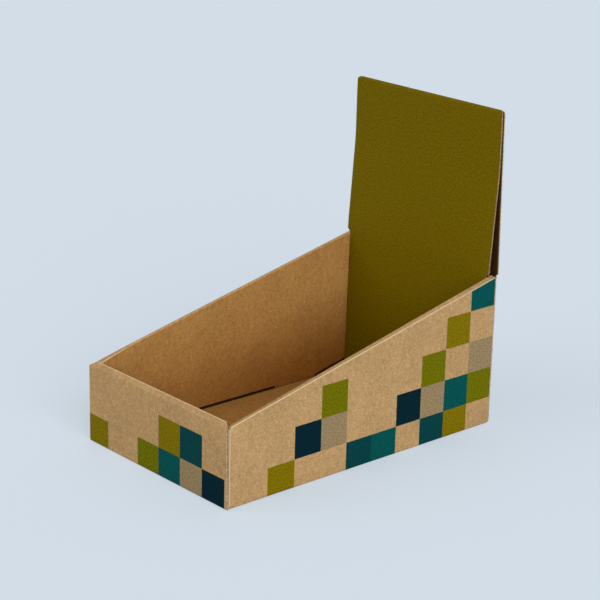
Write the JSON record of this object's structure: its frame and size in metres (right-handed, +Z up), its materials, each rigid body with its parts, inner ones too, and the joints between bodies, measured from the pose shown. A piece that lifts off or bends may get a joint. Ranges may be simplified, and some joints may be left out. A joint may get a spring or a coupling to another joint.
{
  "type": "cardboard display stand",
  "caption": "Folded corrugated kraft counter display tray with a low front, sloping rolled-over side walls and a tall tapering header, printed with coloured squares.",
  "frame": {"origin": "middle of the footprint, on the underside of the base", "axes": "+Z up, -Y towards the low front wall, +X to the right seen from the front"},
  "size_m": [0.162, 0.266, 0.248],
  "materials": {
    "kraft_board": "matt brown kraft liner with printed squares"
  },
  "bodies": {
    "root": {"display_stand": "kraft_board"}
  },
  "joints": []
}
